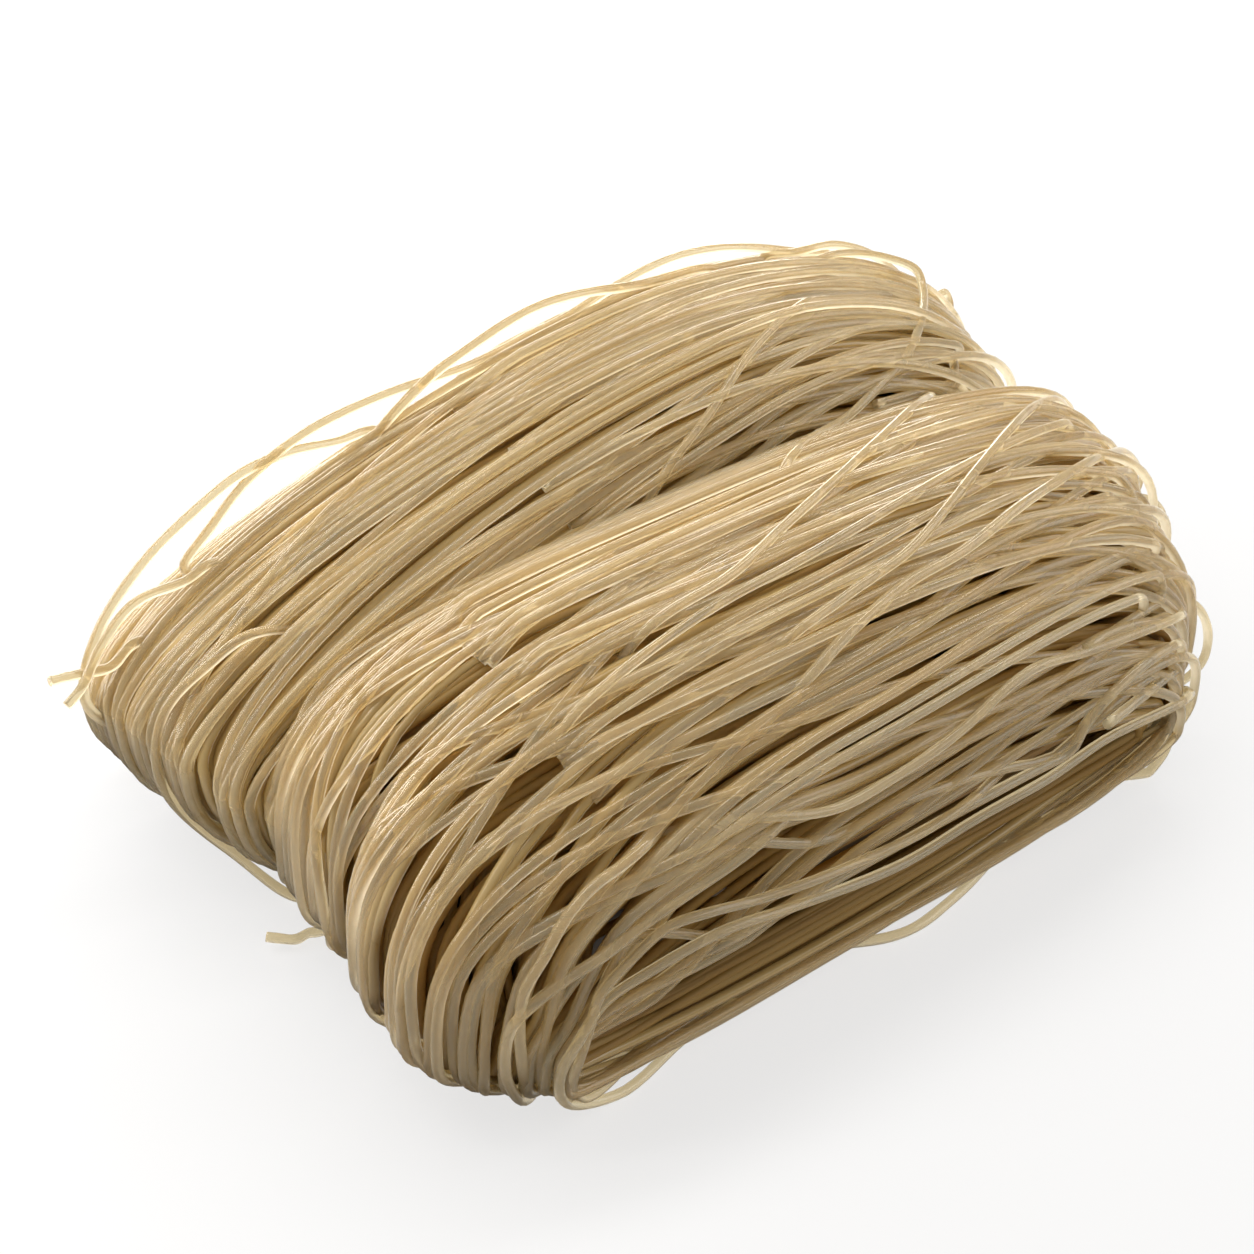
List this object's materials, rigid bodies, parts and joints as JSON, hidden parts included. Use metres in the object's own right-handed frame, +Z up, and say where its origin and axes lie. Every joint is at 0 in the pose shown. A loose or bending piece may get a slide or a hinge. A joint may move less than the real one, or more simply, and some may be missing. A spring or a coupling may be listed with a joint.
{
  "type": "bundle of sweet potato vermicelli",
  "caption": "Skein of dried glassy brown noodles wound into a flattened bundle of round lobes lying side by side, looped at the ends, with loose strands springing off it.",
  "frame": {"origin": "under the middle of the bounding box, on the surface the bundle rests on", "axes": "+X along the strands towards the end at the picture's right, +Y from the near lobe to the far lobe, +Z up"},
  "size_m": [0.2376, 0.1506, 0.0809],
  "materials": {
    "noodle": "dried starch noodle: glassy and translucent, beige brown, smooth with a soft sheen"
  },
  "bodies": {
    "root": {"vermicelli_bundle": "noodle"}
  },
  "joints": []
}
